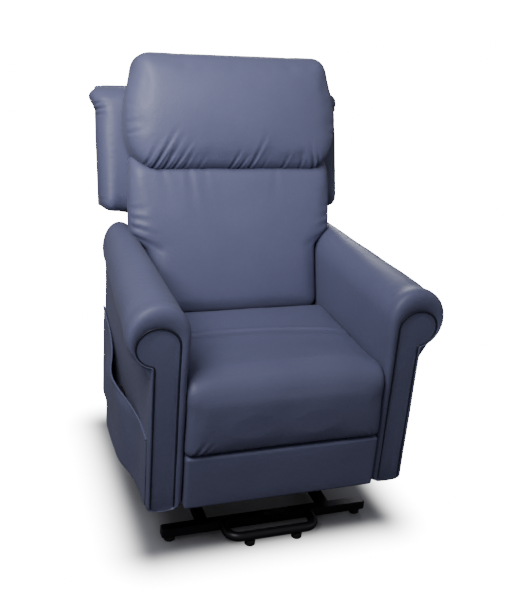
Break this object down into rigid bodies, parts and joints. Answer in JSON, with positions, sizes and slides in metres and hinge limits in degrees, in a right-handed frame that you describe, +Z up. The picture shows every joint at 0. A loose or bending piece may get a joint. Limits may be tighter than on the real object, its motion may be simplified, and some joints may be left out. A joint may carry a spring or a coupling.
{
  "type": "lift recliner chair",
  "caption": "Powered lift recliner armchair with rolled arms, pillow back, side pocket, swing-up footrest and a steel lift base.",
  "frame": {"origin": "on the floor, at the middle of the chair's width and depth", "axes": "+Z up, -Y towards the front of the seat, +X towards a viewer's right who faces the seat"},
  "size_m": [0.7999, 0.8398, 1.1507],
  "materials": {
    "leather": "smooth upholstery leather",
    "black_steel": "satin black powder coat",
    "rod_steel": "bright drawn",
    "actuator_housing": "moulded",
    "black_plastic": "moulded",
    "foot_rubber": "matt",
    "button_rubber": "matt",
    "strap_fabric": "woven webbing",
    "board": "plywood"
  },
  "bodies": {
    "base": {"front_crossbar": "black_steel", "rear_crossbar": "black_steel", "base_rails": "black_steel", "front_loop": "black_steel", "end_caps": "black_plastic", "feet": "foot_rubber", "link_brackets": "black_steel", "lift_mount": "black_steel", "lift_actuator": "actuator_housing", "lift_motor": "black_plastic"},
    "lift_links": {"torque_shaft": "black_steel", "front_links": "black_steel", "lift_crank": "black_steel"},
    "rear_link_left": {"rear_link_left": "black_steel"},
    "rear_link_right": {"rear_link_right": "black_steel"},
    "lift_drive": {"lift_rod": "rod_steel"},
    "chair": {"seat_rails": "black_steel", "seat_front_rail": "black_steel", "seat_rear_rail": "black_steel", "lift_plate_left": "black_steel", "lift_plate_right": "black_steel", "seat_straps": "strap_fabric", "seat_cushion": "leather", "footrest_hinge_brackets": "black_steel", "back_pivot_brackets": "black_steel", "arm_spacers": "black_steel", "arm_panel_left": "leather", "arm_panel_right": "leather", "arm_roll_left": "leather", "arm_roll_right": "leather", "arm_facing_left": "leather", "arm_facing_right": "leather", "side_pocket": "leather", "rear_panel": "leather", "control_box": "black_plastic", "footrest_actuator": "actuator_housing", "recline_actuator": "actuator_housing", "seat_motors": "black_plastic"},
    "footrest": {"footrest_hinge_tube": "black_steel", "footrest_board": "board", "footrest_pad": "leather", "footrest_valance": "leather", "footrest_crank": "black_steel"},
    "footrest_drive": {"footrest_rod": "rod_steel"},
    "backrest": {"back_uprights": "black_steel", "back_cross_tubes": "black_steel", "back_straps": "strap_fabric", "recline_crank": "black_steel", "back_panel": "leather", "lumbar_cushion": "leather", "head_cushion": "leather", "wing_left": "leather", "wing_right": "leather"},
    "recline_drive": {"recline_rod": "rod_steel"},
    "handset": {"handset": "black_plastic"},
    "button_back_up": {"button_back_up": "button_rubber"},
    "button_back_down": {"button_back_down": "button_rubber"},
    "button_legs_up": {"button_legs_up": "button_rubber"},
    "button_legs_down": {"button_legs_down": "button_rubber"}
  },
  "joints": [
    {"name": "lift", "type": "hinge", "parent": "base", "child": "lift_links", "pos_m": [0, -0.22988, 0.06], "axis": [1, 0, 0], "range_deg": [0, 60]},
    {"name": "seat_tilt", "type": "hinge", "parent": "lift_links", "child": "chair", "pos_m": [0, -0.02988, 0.12], "axis": [1, 0, 0], "range_deg": [-36, 0]},
    {"name": "rear_link_left_swing", "type": "hinge", "parent": "base", "child": "rear_link_left", "pos_m": [0, -0.16988, 0.06], "axis": [1, 0, 0], "range_deg": [0, 55]},
    {"name": "rear_link_right_swing", "type": "hinge", "parent": "base", "child": "rear_link_right", "pos_m": [0, -0.16988, 0.06], "axis": [1, 0, 0], "range_deg": [0, 55]},
    {"name": "lift_rod_slide", "type": "slide", "parent": "base", "child": "lift_drive", "axis": [0, -1, 0], "range_m": [0, 0.0801]},
    {"name": "footrest_swing", "type": "hinge", "parent": "chair", "child": "footrest", "pos_m": [0, -0.37588, 0.455], "axis": [-1, 0, 0], "range_deg": [0, 85]},
    {"name": "footrest_rod_slide", "type": "slide", "parent": "chair", "child": "footrest_drive", "axis": [0, -1, 0], "range_m": [0, 0.1487]},
    {"name": "recline", "type": "hinge", "parent": "chair", "child": "backrest", "pos_m": [0, 0.13165, 0.41373], "axis": [-1, 0, 0], "range_deg": [0, 42]},
    {"name": "recline_rod_slide", "type": "slide", "parent": "chair", "child": "recline_drive", "axis": [0, -1, 0], "range_m": [0, 0.0538]},
    {"name": "handset_lift_out", "type": "slide", "parent": "chair", "child": "handset", "axis": [0, 0, 1], "range_m": [0, 0.15]},
    {"name": "button_back_up_press", "type": "slide", "parent": "handset", "child": "button_back_up", "axis": [1, 0, 0], "range_m": [0, 0.0012], "stiffness_N_per_m": 400, "springref_m": -0.002},
    {"name": "button_back_down_press", "type": "slide", "parent": "handset", "child": "button_back_down", "axis": [1, 0, 0], "range_m": [0, 0.0012], "stiffness_N_per_m": 400, "springref_m": -0.002},
    {"name": "button_legs_up_press", "type": "slide", "parent": "handset", "child": "button_legs_up", "axis": [1, 0, 0], "range_m": [0, 0.0012], "stiffness_N_per_m": 400, "springref_m": -0.002},
    {"name": "button_legs_down_press", "type": "slide", "parent": "handset", "child": "button_legs_down", "axis": [1, 0, 0], "range_m": [0, 0.0012], "stiffness_N_per_m": 400, "springref_m": -0.002}
  ],
  "couplings": [
    {"joint": "seat_tilt", "follows": "lift", "ratio": -0.58333},
    {"joint": "rear_link_left_swing", "follows": "lift", "ratio": 0.90419},
    {"joint": "rear_link_right_swing", "follows": "lift", "ratio": 0.90419},
    {"joint": "lift_rod_slide", "follows": "lift", "m_per_rad": 0.076394},
    {"joint": "footrest_rod_slide", "follows": "footrest_swing", "m_per_rad": 0.10019},
    {"joint": "recline_rod_slide", "follows": "recline", "m_per_rad": 0.073332}
  ]
}
